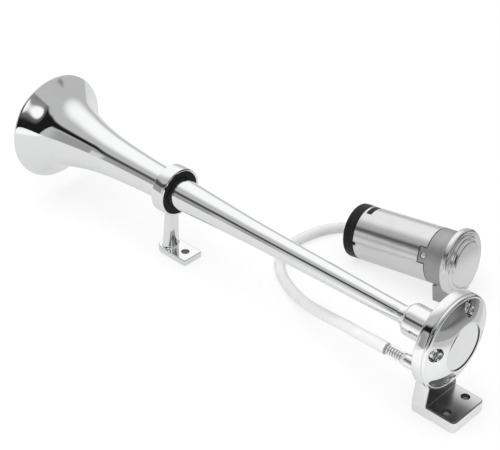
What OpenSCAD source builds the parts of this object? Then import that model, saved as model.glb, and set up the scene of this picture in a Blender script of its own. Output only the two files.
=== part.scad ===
// Single-trumpet air horn with its electric compressor and the air hose between them.
// Millimetres, +Z up. The origin is the centre of the rear foot's two holes, on the face bolted down.
// The horn's axis runs along +Y, from the sound head's cover to the mouth of the bell.
// The compressor stands beside the horn on its own foot and leans on the end of its motor.

/* [Trumpet] */
// Height of the horn's axis above the face it is bolted to
horn_h = 60; // [57:0.5:64]
// Length from the face of the rear cover to the mouth of the bell
horn_len = 430; // [420:1:445]
// Outer radius of the bell's mouth
mouth_r = 46; // [44:0.5:50]
// Radius of the bell where its flare begins
flare_r = 18; // [17:0.1:19]
// Radius of the trumpet where the front clamp holds it
seat_r = 13; // [12:0.1:14]
// Radius at the end of the slender stem
stem_r = 9.5; // [9:0.1:10.5]
// Radius of the neck, where the stem leaves the sound head
neck_r = 6.8; // [6.5:0.1:7.4]
// Thickness of the trumpet's wall
tube_wall = 1.2; // [0.8:0.1:1.5]
// Radius of the bead rolled round the mouth
bead_r = 1.4; // [1.2:0.1:2]
// Radius of the trumpet's plug in the sound head
plug_r = 7.6; // [7.4:0.1:8.2]
// Radius of the throat, from the diaphragm to the stem
throat_r = 4.5; // [4:0.1:5]

/* [Sound head] */
// Outer radius of the sound head
head_r = 36; // [35:0.5:40]
// Thickness of the rear cover, from its face to the seam
cover_t = 9; // [8.6:0.1:11]
// Thickness of the head's body, from the seam to its front
head_t = 8.2; // [8:0.1:10]
// Radius of the flat disc in the middle of the rear cover
disc_r = 18.5; // [16:0.1:19.5]
// Radius of the hub that holds the trumpet
hub_r = 12.5; // [12:0.1:15]
// Length of the hub
hub_len = 31; // [26:0.1:34]
// Radius of the air chamber round the throat
chamber_r = 20.4; // [19:0.1:21]
// Width of the seat that grips the diaphragm's edge
seal_w = 2.6; // [2:0.1:3]
// Thickness of the diaphragm
diaphragm_t = 0.3; // [0.2:0.05:0.4]
// How far the diaphragm lifts off the throat
lift = 0.4; // [0.2:0.05:0.5]
// Shank radius of the cover screws
screw_r = 2; // [1.5:0.1:2.2]
// Head radius of the cover screws
screw_head_r = 3.5; // [3.2:0.1:4]

/* [Rear foot] */
// Width of the rear foot
foot_w = 36; // [34:0.5:44]
// Thickness of the rear foot
foot_t = 9; // [6:0.5:10]
// Distance from the middle of the holes to the foot's rear edge
foot_back = 11.6; // [8:0.1:13]
// Distance between the two holes
foot_holes = 22; // [20:0.5:24]
// Radius of the holes in both feet of the horn
hole_r = 3.4; // [2.7:0.1:3.6]
// Width of the web where it meets the head
web_w = 31; // [28:0.5:33]
// Thickness of the web
web_t = 13; // [11:0.5:15]

/* [Front clamp] */
// Distance from the rear cover's face to the clamp's ring
clamp_y = 276; // [265:1:285]
// Length of the clamp's ring along the horn
clamp_len = 12; // [10:0.5:14]
// Outer radius of the rubber grommet
grommet_r = 18.4; // [17.5:0.1:19.5]
// Wall of the clamp's ring
ring_wall = 1.9; // [1.5:0.1:2.5]
// Width of the front foot
pad_w = 20; // [18:0.5:24]
// Thickness of the front foot
pad_t = 5; // [4:0.5:7]
// Length of the front foot
pad_len = 36.5; // [34:0.5:42]
// Distance from the ring's rear face to the front foot's hole
pad_hole = 4.6; // [4:0.1:6]

/* [Compressor] */
// Where the far edge of the compressor's foot meets the floor, across the horn
pump_x = 110; // [104:1:125]
// Where it meets the floor along the horn
pump_y = 92; // [85:1:95]
// How far the motor's end is turned towards the horn, in degrees
pump_turn = 4; // [0:0.5:6]
// Outer radius of the motor can
can_r = 22.4; // [22:0.1:23.5]
// Wall of the motor can
can_wall = 1.4; // [1:0.1:1.5]
// Length of the motor can
can_len = 67.4; // [66:0.1:72]
// Length of the motor's end cap outside the can
cap_len = 10.2; // [9.5:0.1:12]
// Length of the pump's body between its cover and the can
body_len = 16.7; // [16.5:0.1:19]
// Outer radius of the pump's cover
pump_cover_r = 27; // [26.5:0.1:29]
// Depth of the pump's cover
pump_cover_t = 8.9; // [8.6:0.1:10]
// Height of the compressor's axis above the sole of its foot
pump_drop = 32.3; // [31:0.1:36]
// Width of the compressor's foot
pump_foot_w = 30; // [28:0.5:32]
// Distance between the two threaded holes in the compressor's foot
pump_foot_holes = 18; // [16:0.5:19]
// Wall radius of those threaded holes
tap_r = 2.1; // [2:0.1:2.5]
// Radius of the pump's chamber
stator_r = 13.5; // [13:0.1:13.8]
// How far the chamber's axis lies off the rotor's
offset_e = 1.5; // [1:0.1:1.8]
// Radius of the motor's shaft
shaft_r = 2; // [1.8:0.1:2.4]

/* [Air line] */
// Outer radius of the air hose
hose_r = 4.5; // [4.3:0.1:5]
// Root radius of the barbs that the hose is pushed on
barb_r = 2.7; // [2.4:0.1:2.8]
// Length of the ribbed part of a barb
barb_len = 14.4; // [12:0.3:15]
// Distance from the horn's axis to the air inlet
inlet_ring_r = 27.8; // [27:0.1:28.5]

/* [Hidden] */
$fn = 96;

// Gaps between pieces
run_gap = 0.05;       // radial, where one piece turns or slides in another
fit_gap = 0.03;       // radial, where one piece sits in another
face_gap = 0.1;       // between faces that are screwed or pressed together
cut = 1;              // how far a cutter runs past the surface it opens

// Stations along the horn
seam_y = cover_t;
head_front = cover_t + head_t;
hub_front = head_front + hub_len;
plug_y = head_front + 3;
neck_y = hub_front + 5;
clamp_end = clamp_y + clamp_len;
bead_y = horn_len - bead_r;

// Trumpet outlines, as [radius, distance along the axis]
seat_margin = 2;
stem_end = clamp_y - 81;
bell_start = clamp_end + seat_margin;
stem_points = [
    [neck_r, neck_y],
    [neck_r + 0.45 * (stem_r - neck_r), neck_y + 0.5 * (stem_end - neck_y)],
    [stem_r, stem_end],
    [stem_r + 0.5 * (seat_r - stem_r), stem_end + 42],
    [seat_r, clamp_y - seat_margin]];
bell_points = [
    [seat_r, bell_start],
    [seat_r + 0.35 * (flare_r - seat_r), 0.5 * (bell_start + horn_len - 68)],
    [flare_r, horn_len - 68],
    [flare_r + 0.2 * (mouth_r - flare_r), horn_len - 40],
    [flare_r + 0.49 * (mouth_r - flare_r), horn_len - 17],
    [mouth_r - bead_r, bead_y]];
function blend(a, b, c, d, t) =
    0.5 * (2 * b + (c - a) * t + (2 * a - 5 * b + 4 * c - d) * t * t + (3 * b - a - 3 * c + d) * t * t * t);
function curve(p, n) = [for (i = [0:len(p) - 2]) for (j = [0:n - 1])
    blend(p[max(i - 1, 0)], p[i], p[i + 1], p[min(i + 2, len(p) - 1)], j / n), p[len(p) - 1]];
function flip(p) = [for (i = [len(p) - 1:-1:0]) p[i]];
skin_line = concat(curve(stem_points, 6), curve(bell_points, 7));
function skin_slope(i) = let (a = skin_line[max(i - 1, 0)], b = skin_line[min(i + 1, len(skin_line) - 1)])
    (b[0] - a[0]) / (b[1] - a[1]);
bore_line = [for (i = [0:len(skin_line) - 1])
    [skin_line[i][0] - tube_wall * sqrt(1 + pow(skin_slope(i), 2)), skin_line[i][1]]];
seal_y = plug_y + 6;
seal_r = 0.7;
seal_groove = plug_r - 2 * seal_r;
trumpet_outline = concat(
    [[throat_r, plug_y], [plug_r, plug_y],
     [plug_r, seal_y - seal_r - face_gap], [seal_groove, seal_y - seal_r - face_gap],
     [seal_groove, seal_y + seal_r + face_gap], [plug_r, seal_y + seal_r + face_gap],
     [plug_r, neck_y - 4], [neck_r, neck_y - 1.5]],
    skin_line, flip(bore_line));

// Rounded edge in an outline: centre [r, y], radius, first and last angle
function arc(c, r, a, b, n = 8) =
    [for (i = [0:n]) c + r * [cos(a + (b - a) * i / n), sin(a + (b - a) * i / n)]];

// Sound head
nozzle_wall = 2.5;
gasket_t = 0.5;
seat_y = seam_y + diaphragm_t + gasket_t;
diaphragm_y = seam_y;
land_y = seam_y - lift - 0.3;
diaphragm_r = chamber_r + seal_w;
seat_edge = diaphragm_r + 0.3;
chamber_y = head_front - 2.4;
screw_ring_r = seat_edge + screw_r + 2.6;
screw_angles = [76, 166, 256, 346];
screw_head_t = 1.8;
screw_seat = cover_t - 2;
screw_sink_r = screw_head_r + 1.8;
screw_end = head_front - 1.6;
inlet_angle = 207;
boss_r = 4.7;
boss_end = head_front + 11;
thread_r = 2.9;
thread_len = 7;
hex_r = 4.4;
hex_len = 2.6;
barb_bore = 1.6;
barb_tip = boss_end + hex_len + barb_len;

// Rear cover
rim_r = head_r - 2.6;
rim_y = 0.69 * cover_t;
disc_sink = 0.7;
dome_bulge = 0.6;
dome_line = [for (i = [0:10]) let (t = i / 10)
    [disc_r + 0.7 + (rim_r - disc_r - 0.7) * t, 0.08 + (rim_y - 0.08) * t - 4 * dome_bulge * t * (1 - t)]];
cover_wall = 2.5;

// Rear foot and web
web_y = head_front - 4.2;
foot_front = web_y + web_t;
foot_corner = 3.5;
foot_edge = 1.2;

// Front clamp
ring_r = grommet_r + run_gap + ring_wall;
pad_y = clamp_y - pad_hole - 9.4;
leg_y = pad_y + pad_len - pad_w / 2;
leg_top_y = leg_y - 2.2;
leg_top = horn_h - grommet_r - ring_wall / 2;

// Compressor stations along its axis, from the face of the pump's cover
can_y = pump_cover_t + body_len;
can_end = can_y + can_len;
cap_end = can_end + cap_len;
cap_edge = 1.2;
foot_far = can_y - 2.6;
foot_len = 14;
lean_y = cap_end - cap_edge - foot_far;
lean_z = pump_drop - can_r + cap_edge;
pump_tip = atan2(lean_z, lean_y) - asin(cap_edge / sqrt(lean_y * lean_y + lean_z * lean_z));

// Pump
flange_y = 6;
flange_r = pump_cover_r - 2.1;
cup_r = can_r - 2.35;
cup_y = can_y - 7.6;
plate_t = 1.7;
plate_y = flange_y + 0.3;
stator_y = plate_y + plate_t;
rotor_gap = 0.15;
rotor_r = stator_r - offset_e - 0.1;
vane_t = 2;
vane_root = rotor_r - 6.3;
pump_screw_r = 1.45;
pump_screw_head = 2.5;
pump_screw_ring = cup_r - 2.45;
pump_screw_angles = [30, 150, 270];
bearing_r = 6.5;
bearing_y = cup_y + 1;
bearing_len = 5;
oring_r = 0.8;
oring_y = 7.6;
outlet_y = can_y - 9.8;
outlet_x = can_r + 6.1;
outlet_z = -6;
outlet_r = 6.3;
outlet_bore = 2;
outlet_face = outlet_y + outlet_r;
felt_w = 8;
felt_h = 4;
felt_x = -pump_foot_w / 2 + 2 + felt_w / 2;
felt_z = -can_r + 4.6;
felt_len = 3;
felt_y = foot_far - 0.8 - felt_len;
intake_z = felt_z + 1.6;

// Motor
can_in = can_r - can_wall;
lug_w = 12;
lug_len = 6;
lug_angle = 154;
lug_screw_y = can_y + 1.8;
lug_screw_r = 1.3;
lug_head_r = 2.4;
lug_sink_r = 2.8;
lug_sink = 0.8;
window_w = 14.2;
window_len = 5;
window_y = can_end - 7.2;
window_angle = 86;
key_w = 3;
key_len = 2.5;
key_angle = 176;
motor_plate_t = 2;
motor_rim = 3.4;
magnet_t = 4;
magnet_r = can_in - magnet_t;
magnet_y = can_y + 12;
magnet_len = 40;
magnet_half = 0.74 * can_in;
clip_half = 0.48 * can_in;
core_r = magnet_r - 0.7;
core_len = 36;
core_y = magnet_y + (magnet_len - core_len) / 2;
slots = 5;
slot_r = 3.9;
slot_ring = core_r - 5.6;
coil_len = 3.3;
commutator_r = 5.5;
commutator_y = core_y + core_len + coil_len + 1.4;
commutator_len = 9.5;
brush_w = 4;
brush_len = 5;
brush_y = commutator_y + 4.6;
spigot_len = 9.2;
spigot_wall = 3;
spigot_in = can_in - fit_gap - spigot_wall;
brush_h = 0.72 * (spigot_in - commutator_r);
holder_end = sqrt(pow(spigot_in - 0.1, 2) - pow(brush_w / 2 + 0.6, 2));
bush_r = 5.4;
bush_len = 7;
bush_y = can_end - 1.4;
shaft_end = bush_y + bush_len - 0.4;
blade_w = 6.3;
blade_t = 0.8;
blade_x = 7;
blade_z = -8;
blade_y = cap_end - 8;
blade_len = 15.5;

// Where a point of the compressor's own axes [across, along, up] comes to
function turn_x(p, a) = [p[0], p[1] * cos(a) - p[2] * sin(a), p[1] * sin(a) + p[2] * cos(a)];
function turn_z(p, a) = [p[0] * cos(a) - p[1] * sin(a), p[0] * sin(a) + p[1] * cos(a), p[2]];
function pump_point(p) = [pump_x, pump_y, 0]
    + turn_z(turn_x(p + [0, -foot_far, pump_drop], -pump_tip), pump_turn);

// Centre line of the free hose, from the tip of the inlet barb to the tip of the compressor's nipple
hose_sides = 10;
cuff_r = 4.65;
cuff_cap = 2;
hose_lay = [
    [-24.8, 46.2, 47.4], [-24.8, 56, 47.3], [-22.8, 68, 45], [-18, 81, 40.2], [-11.5, 95, 33.6],
    [-4, 112, 25.5], [4, 130, 17.2], [11, 148, 10.6], [18, 165, 6.4], [25, 181, 4.6],
    [33, 195, 4.6], [44, 207, 4.6], [59, 215, 4.6], [76, 217, 4.6], [92, 215, 4.6],
    [107, 210, 4.6], [120, 201, 4.6], [130, 188.5, 4.6], [136, 174, 5.4], [138, 159, 9],
    [137.9, 146, 14], [137, 134, 19], [136.4, 123, 22.8], [137, 114.3, 24]];
hose_last = len(hose_lay) - 1;
hose_start = [inlet_ring_r * cos(inlet_angle), barb_tip + cuff_cap - 1,
    horn_h + inlet_ring_r * sin(inlet_angle)] - hose_lay[0];
hose_end = pump_point([outlet_x, outlet_face + hex_len + barb_len + cuff_cap - 0.8, outlet_z])
    - hose_lay[hose_last];
// Each point follows the end it is nearer to, and none goes into the floor
function follow(i) = min(max((i - 2) / (hose_last - 4), 0), 1);
hose_points = [for (i = [0:hose_last])
    let (p = hose_lay[i] + (1 - follow(i)) * hose_start + follow(i) * hose_end)
    [p[0], p[1], max(p[2], hose_r + 0.1)]];
function unit(v) = v / norm(v);
function along(p, i) = unit(p[min(i + 1, len(p) - 1)] - p[max(i - 1, 0)]);
function hoop(c, d, r, n) = let (s = unit(cross(d, [0, 0, 1])), u = cross(s, d))
    [for (j = [0:n - 1]) c + r * (cos(360 * j / n) * s + sin(360 * j / n) * u)];

// Axes
module on_horn(y = 0) translate([0, y, horn_h]) rotate([-90, 0, 0]) children();
module place_pump() translate([pump_x, pump_y, 0]) rotate([-pump_tip, 0, pump_turn])
    translate([0, -foot_far, pump_drop]) children();
module on_pump(y = 0) place_pump() translate([0, y, 0]) rotate([-90, 0, 0]) children();
// Turns to an angle seen along the axis, from +X towards +Z, and goes out to a radius
module at_angle(a, r = 0) rotate([0, 0, -a]) translate([r, 0, 0]) children();
// A ring between two radii
module ring(r_out, r_in, h) difference() {
    cylinder(r = r_out, h = h);
    translate([0, 0, -cut]) cylinder(r = r_in, h = h + 2 * cut);
}
// A round post with a bevelled top, for the corners of a foot
module post(r, h, e) {
    cylinder(r = r, h = h - e, $fn = 32);
    cylinder(r = r - e, h = h, $fn = 32);
}
// A pan-head screw pointing along +Z from the underside of its head, with a cross in the head
module pan_screw(shank, shank_len, head, head_t) difference() {
    union() {
        translate([0, 0, -0.3]) cylinder(r = shank, h = shank_len + 0.3, $fn = 32);
        rotate_extrude($fn = 48) polygon(concat([[0, 0], [head, 0], [head, -0.5 * head_t]],
            [[0.82 * head, -0.85 * head_t], [0.5 * head, -head_t], [0, -head_t]]));
    }
    for (a = [0, 90]) rotate([0, 0, a])
        translate([-0.55 * head, -0.12 * head, -head_t - cut])
            cube([1.1 * head, 0.24 * head, 0.55 * head_t + cut]);
}
// A hose barb along +Z: thread, hexagon and seven ribs, bored through
module barb() {
    ribs = 7;
    pitch = barb_len / ribs;
    difference() {
        union() {
            translate([0, 0, -thread_len]) cylinder(r = thread_r, h = thread_len + 0.2, $fn = 48);
            cylinder(r = hex_r, h = hex_len, $fn = 6);
            rotate_extrude($fn = 48) polygon(concat([[0, hex_len - 0.2], [barb_r, hex_len - 0.2]],
                [for (i = [0:ribs - 1]) each [[barb_r + 0.5, hex_len + i * pitch + 0.3],
                    [barb_r, hex_len + (i + 1) * pitch]]],
                [[0, hex_len + barb_len]]));
        }
        translate([0, 0, -thread_len - cut]) cylinder(r = barb_bore, h = 40, $fn = 32);
    }
}

// Trumpet: one drawn tube with a flared bell and a rolled mouth
module trumpet() color("gainsboro") on_horn() {
    rotate_extrude() polygon(trumpet_outline);
    translate([0, 0, bead_y]) rotate_extrude() translate([mouth_r - bead_r, 0]) circle(r = bead_r, $fn = 24);
}

module trumpet_seal() color("dimgray") on_horn(seal_y)
    rotate_extrude() translate([plug_r - seal_r - fit_gap / 2, 0]) circle(r = seal_r - fit_gap, $fn = 24);

// Head body: chamber, throat, hub, air inlet boss, web and rear foot in one casting
head_outline = concat(
    [[throat_r, seam_y + diaphragm_t + run_gap], [throat_r + nozzle_wall, seam_y + diaphragm_t + run_gap],
     [throat_r + nozzle_wall, chamber_y], [chamber_r, chamber_y], [chamber_r, seat_y],
     [seat_edge, seat_y], [seat_edge, seam_y], [head_r - 0.8, seam_y], [head_r, seam_y + 0.8]],
    arc([head_r - 1.5, head_front - 1.5], 1.5, 0, 90),
    arc([hub_r + 1.5, head_front + 1.5], 1.5, 270, 180),
    arc([hub_r - 4.2, hub_front - 5.6], 4.2, 0, 80),
    [[plug_r + 1.2, hub_front - 1.2], [plug_r + 1.2, hub_front], [plug_r + fit_gap, hub_front],
     [plug_r + fit_gap, plug_y - face_gap], [throat_r, plug_y - face_gap]]);
module foot_block() {
    foot_x = foot_w / 2 - foot_corner;
    hull() for (x = [-foot_x, foot_x]) for (y = [foot_corner - foot_back, foot_front - foot_corner])
        translate([x, y, 0]) post(foot_corner, foot_t, foot_edge);
}
module web_block() {
    web_top = horn_h - head_r + 7;
    side = foot_w / 2 - 0.15;
    hull() {
        translate([-side, web_y, 2]) cube([2 * side, 1, foot_t - 2]);
        for (x = [-foot_w / 2 + foot_corner, foot_w / 2 - foot_corner])
            translate([x, foot_front - foot_corner, 2])
                cylinder(r = foot_corner - 0.15, h = foot_t - 2, $fn = 32);
        translate([-web_w / 2, web_y, web_top - 6]) cube([web_w, 1, 1]);
        for (x = [2.5 - web_w / 2, web_w / 2 - 2.5])
            translate([x, foot_front - 2.5, web_top - 7]) cylinder(r = 2.5, h = 1, $fn = 32);
        translate([-web_w / 2, web_y, web_top]) cube([web_w, head_front - web_y + 1, 1]);
    }
}
module head_body() color("silver") difference() {
    union() {
        on_horn() rotate_extrude() polygon(head_outline);
        on_horn() at_angle(inlet_angle, inlet_ring_r)
            translate([0, 0, head_front - 1]) cylinder(r = boss_r, h = boss_end - head_front + 1, $fn = 48);
        foot_block();
        web_block();
    }
    for (x = [-foot_holes / 2, foot_holes / 2])
        translate([x, 0, -cut]) cylinder(r = hole_r, h = foot_t + 2 * cut);
    on_horn(seam_y - cut) cylinder(r = seat_edge, h = seat_y - seam_y + cut);
    on_horn(seam_y - cut) for (a = screw_angles) at_angle(a, screw_ring_r)
        cylinder(r = screw_r + fit_gap, h = screw_end - seam_y + cut, $fn = 32);
    on_horn() at_angle(inlet_angle, inlet_ring_r) {
        translate([0, 0, boss_end - thread_len - 1])
            cylinder(r = thread_r + fit_gap, h = thread_len + 1 + cut, $fn = 48);
        translate([0, 0, chamber_y - 2]) cylinder(r = barb_bore, h = boss_end - chamber_y, $fn = 32);
    }
    on_horn(chamber_y - 1.7) at_angle(inlet_angle) rotate([0, 90, 0])
        translate([0, 0, chamber_r - 1]) cylinder(r = 1.4, h = inlet_ring_r - chamber_r + 1, $fn = 32);
}

// Rear cover: a shallow dome round a slightly sunken flat disc, with a rounded rim, cupped behind
cover_outline = concat(
    [[0, disc_sink], [disc_r - 0.7, disc_sink], [disc_r - 0.45, 0.2], [disc_r - 0.15, 0],
     [disc_r + 0.3, 0]], dome_line,
    arc([head_r - 1.8, rim_y + 1.5], 1.5, 250, 360, 6),
    [[head_r - 0.3, seam_y - 0.8], [head_r - 1.1, seam_y], [seat_edge, seam_y], [seat_edge, land_y],
     [chamber_r, land_y], [chamber_r, land_y - 3], [disc_r - 3, cover_wall], [0, cover_wall]]);
module rear_cover() color("gainsboro") difference() {
    on_horn() rotate_extrude() polygon(cover_outline);
    on_horn() for (a = screw_angles) at_angle(a, screw_ring_r) {
        translate([0, 0, -cut]) cylinder(r = screw_sink_r, h = screw_seat + cut, $fn = 48);
        cylinder(r = screw_r + 0.2, h = cover_t + cut, $fn = 32);
    }
}
module cover_screws() color("lightgray") on_horn(screw_seat) for (a = screw_angles) at_angle(a, screw_ring_r)
    pan_screw(screw_r, screw_end - screw_seat - 1, screw_head_r, screw_head_t);

module diaphragm() color("slategray") on_horn(diaphragm_y) cylinder(r = diaphragm_r, h = diaphragm_t);
module front_gasket() color("dimgray") on_horn(diaphragm_y + diaphragm_t + face_gap / 2)
    ring(diaphragm_r, chamber_r + 0.2, gasket_t - face_gap);
module rear_gasket() color("dimgray") on_horn(land_y) ring(diaphragm_r, chamber_r + 0.2, 0.25);
module inlet_barb() color("silver") on_horn(boss_end) at_angle(inlet_angle, inlet_ring_r) barb();

// Front clamp: a ring on a rubber grommet, with an oval leg and a round-ended foot
module clamp_grommet() color("black") on_horn(clamp_y + 0.4) difference() {
    rotate_extrude() polygon([[seat_r + fit_gap, 0], [grommet_r - 0.6, 0], [grommet_r, 0.6],
        [grommet_r, clamp_len - 1.4], [grommet_r - 0.6, clamp_len - 0.8],
        [seat_r + fit_gap, clamp_len - 0.8]]);
}
module front_clamp() color("gainsboro") difference() {
    union() {
        on_horn(clamp_y) rotate_extrude() polygon(concat([[seat_r, 0]],
            arc([ring_r - 0.5, 0.5], 0.5, 270, 360, 4),
            arc([ring_r - 0.8, clamp_len - 0.8], 0.8, 0, 90, 4), [[seat_r, clamp_len]]));
        hull() {
            translate([0, leg_y, pad_t - 1]) scale([1.5, 1, 1]) cylinder(r = 5.2, h = 1.5, $fn = 32);
            translate([0, leg_top_y, leg_top - 1]) scale([1.35, 1, 1]) cylinder(r = 4.5, h = 1, $fn = 32);
        }
        hull() {
            for (x = [2 - pad_w / 2, pad_w / 2 - 2]) translate([x, pad_y + 2, 0]) post(2, pad_t, 0.7);
            translate([0, leg_y, 0]) post(pad_w / 2, pad_t, 0.7);
        }
    }
    on_horn(clamp_y - cut) cylinder(r = grommet_r + run_gap, h = clamp_len + 2 * cut);
    translate([0, clamp_y - pad_hole, -cut]) cylinder(r = hole_r, h = pad_t + 2 * cut);
}

// Pump body: flange, body, foot and outlet boss in one grey casting, with two lugs that reach into the can
module pump_body() color("darkgray") difference() {
    union() {
        on_pump(flange_y) cylinder(r = flange_r, h = pump_cover_t - flange_y);
        on_pump(pump_cover_t - 1) cylinder(r = can_r, h = body_len + 1);
        place_pump() translate([-pump_foot_w / 2, foot_far - foot_len, -pump_drop])
            cube([pump_foot_w, foot_len, pump_drop - can_r + 12]);
        place_pump() translate([can_r / 2, outlet_y, outlet_z]) rotate([0, 90, 0])
            cylinder(r = outlet_r - 0.8, h = outlet_x - can_r / 2);
        place_pump() translate([outlet_x, outlet_y - outlet_r, outlet_z]) rotate([-90, 0, 0])
            cylinder(r = outlet_r, h = 2 * outlet_r);
        for (a = [lug_angle, lug_angle + 180]) intersection() {
            on_pump(can_y - 1) ring(can_r - fit_gap, can_in + fit_gap, lug_len + 1);
            on_pump(can_y - 1) at_angle(a, can_in - 4) translate([0, face_gap - lug_w / 2, 0])
                cube([can_r, lug_w - 2 * face_gap, lug_len + 1 - face_gap]);
        }
    }
    on_pump(flange_y - cut) cylinder(r = cup_r, h = cup_y - flange_y + cut);
    on_pump(cup_y - cut) cylinder(r = shaft_r + 1, h = 3);
    on_pump(bearing_y) cylinder(r = bearing_r + fit_gap, h = can_y);
    on_pump(oring_y - oring_r - face_gap) ring(flange_r + cut, flange_r - 1.4, 2 * (oring_r + face_gap));
    on_pump(cup_y - cut) for (a = pump_screw_angles) at_angle(a, pump_screw_ring)
        cylinder(r = pump_screw_r + fit_gap, h = 6.5, $fn = 32);
    for (a = [lug_angle, lug_angle + 180]) on_pump(lug_screw_y) at_angle(a) rotate([0, 90, 0]) {
        translate([0, 0, can_in - cut]) cylinder(r = lug_screw_r + 0.1, h = 5, $fn = 32);
        translate([0, 0, can_r - lug_sink]) cylinder(r = lug_sink_r, h = 3, $fn = 32);
    }
    place_pump() translate([stator_r - 2, outlet_y, outlet_z]) rotate([0, 90, 0])
        cylinder(r = outlet_bore, h = outlet_x - stator_r + 2, $fn = 48);
    on_pump(outlet_face - thread_len - 1) translate([outlet_x, -outlet_z, 0])
        cylinder(r = thread_r + fit_gap, h = thread_len + 1 + cut, $fn = 48);
    place_pump() for (x = [-pump_foot_holes / 2, pump_foot_holes / 2])
        translate([x, foot_far - foot_len / 2, -pump_drop - cut]) cylinder(r = tap_r, h = 8 + cut, $fn = 48);
    place_pump() translate([felt_x - felt_w / 2, felt_y, felt_z - felt_h / 2])
        cube([felt_w, felt_len, felt_h]);
    place_pump() translate([-pump_foot_w / 2 - cut, felt_y, felt_z - 0.8])
        cube([2 * cut + 2, can_y - felt_y + cut, 1.6]);
    on_pump(cup_y - cut) translate([felt_x, -intake_z, 0])
        cylinder(r = 1.3, h = felt_y - cup_y + 2 * cut, $fn = 32);
}
module intake_felt() color("tan") place_pump()
    translate([felt_x - felt_w / 2 + face_gap, felt_y + face_gap, felt_z - felt_h / 2 + face_gap])
    cube([felt_w, felt_len, felt_h] - 2 * face_gap * [1, 1, 1]);

// Pump cover: a pressed dish with stepped rings round a flat disc
pump_disc_r = pump_cover_r - 8.4;
pump_cover_outline = concat(
    [[0, 0], [pump_disc_r - 0.7, 0], [pump_disc_r, 0.6], [pump_disc_r + 0.3, 2]],
    arc([pump_disc_r + 2.1, 3.2], 1.2, 200, 330, 6),
    arc([pump_disc_r + 4.8, 4.4], 1.1, 210, 330, 6),
    arc([pump_cover_r - 2, 5.6], 2, 225, 360, 8),
    [[pump_cover_r, pump_cover_t - 0.6], [pump_cover_r - 0.5, pump_cover_t], [flange_r + 0.3, pump_cover_t],
     [flange_r + 0.3, 6], [pump_disc_r + 3.6, 4.9], [pump_disc_r - 0.8, 2.6], [pump_disc_r - 2, 1.4],
     [0, 1.4]]);
module pump_cover() color("gainsboro") on_pump() rotate_extrude() polygon(pump_cover_outline);
module cover_ring() color("dimgray") on_pump(oring_y)
    rotate_extrude() translate([flange_r + 0.2 - oring_r, 0]) circle(r = oring_r, $fn = 24);

// Vane pump: plate, eccentric chamber ring, slotted rotor and four vanes
module screw_pattern(r, h) for (a = pump_screw_angles) at_angle(a, pump_screw_ring)
    translate([0, 0, -cut]) cylinder(r = r, h = h + 2 * cut, $fn = 32);
module pump_plate() color("slategray") on_pump(plate_y) difference() {
    cylinder(r = cup_r - fit_gap, h = plate_t);
    screw_pattern(pump_screw_r + 0.15, plate_t);
}
module stator_ring() color("dimgray") on_pump(stator_y) difference() {
    cylinder(r = cup_r - fit_gap, h = cup_y - stator_y);
    translate([0, -offset_e, -cut]) cylinder(r = stator_r, h = cup_y - stator_y + 2 * cut);
    screw_pattern(pump_screw_r + 0.15, cup_y - stator_y);
    translate([0, -outlet_z, outlet_y - stator_y]) rotate([0, 90, 0])
        cylinder(r = outlet_bore, h = cup_r + cut, $fn = 48);
    translate([felt_x - 1.3, 0, cup_y - stator_y - 2.5]) cube([2.6, 1.3 - intake_z, 2.5 + cut]);
}
module pump_screws() color("lightgray") on_pump(plate_y)
    for (a = pump_screw_angles) at_angle(a, pump_screw_ring)
    pan_screw(pump_screw_r, cup_y - plate_y + 4.5, pump_screw_head, 1.8);
module pump_rotor() color("peru") on_pump(stator_y + rotor_gap) difference() {
    cylinder(r = rotor_r, h = cup_y - stator_y - 2 * rotor_gap);
    translate([0, 0, -cut]) cylinder(r = shaft_r + 0.01, h = 20, $fn = 48);
    for (a = [0:90:270]) rotate([0, 0, a])
        translate([vane_root - 0.2, -vane_t / 2 - run_gap, -cut]) cube([12, vane_t + 2 * run_gap, 20]);
}
module vanes() color("black") on_pump(stator_y + rotor_gap) for (a = [0:90:270]) rotate([0, 0, a])
    translate([vane_root, -vane_t / 2, 0.05])
        cube([rotor_r - vane_root - 0.1, vane_t, cup_y - stator_y - 2 * rotor_gap - 0.1]);
module outlet_nipple() color("silver") on_pump(outlet_face) translate([outlet_x, -outlet_z, 0]) barb();

// Motor: steel can with notches for the lugs and windows for the end cap's clips
module can_screws() color("lightgray") for (a = [lug_angle, lug_angle + 180])
    on_pump(lug_screw_y) at_angle(a) rotate([0, 90, 0])
        translate([0, 0, can_r - lug_sink + 0.02]) rotate([180, 0, 0])
        pan_screw(lug_screw_r, can_wall - lug_sink + 2.6, lug_head_r, 1.1);
module front_bearing() color("lightsteelblue") on_pump(bearing_y)
    ring(bearing_r, shaft_r + run_gap, bearing_len);
module motor_plate() color("slategray") difference() {
    union() {
        on_pump(can_y) ring(can_in - fit_gap, 4, motor_plate_t);
        on_pump(can_y) ring(can_in - fit_gap, can_in - motor_rim, lug_len + 1);
    }
    for (a = [lug_angle, lug_angle + 180]) on_pump(lug_screw_y) at_angle(a) rotate([0, 90, 0])
        translate([0, 0, can_in - motor_rim - 1]) cylinder(r = lug_screw_r + fit_gap, h = 8, $fn = 32);
}
module can_cut(a, w, y, len) on_pump(y) at_angle(a, can_in - 4) translate([0, -w / 2, 0]) cube([8, w, len]);
module motor_can() color("lightsteelblue") difference() {
    on_pump(can_y + face_gap) ring(can_r, can_in, can_len - face_gap);
    for (a = [lug_angle, lug_angle + 180]) can_cut(a, lug_w, can_y - cut, lug_len + cut);
    for (a = [window_angle, window_angle + 180]) can_cut(a, window_w, window_y, window_len);
    can_cut(key_angle, key_w, can_end - key_len, key_len + cut);
}
module magnets() color("dimgray") on_pump(magnet_y) difference() {
    ring(can_in - fit_gap, magnet_r, magnet_len);
    for (s = [-1, 1]) translate([-can_r, s * (magnet_half + can_r / 2) - can_r / 2, -cut])
        cube([2 * can_r, can_r, magnet_len + 2 * cut]);
}
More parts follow.
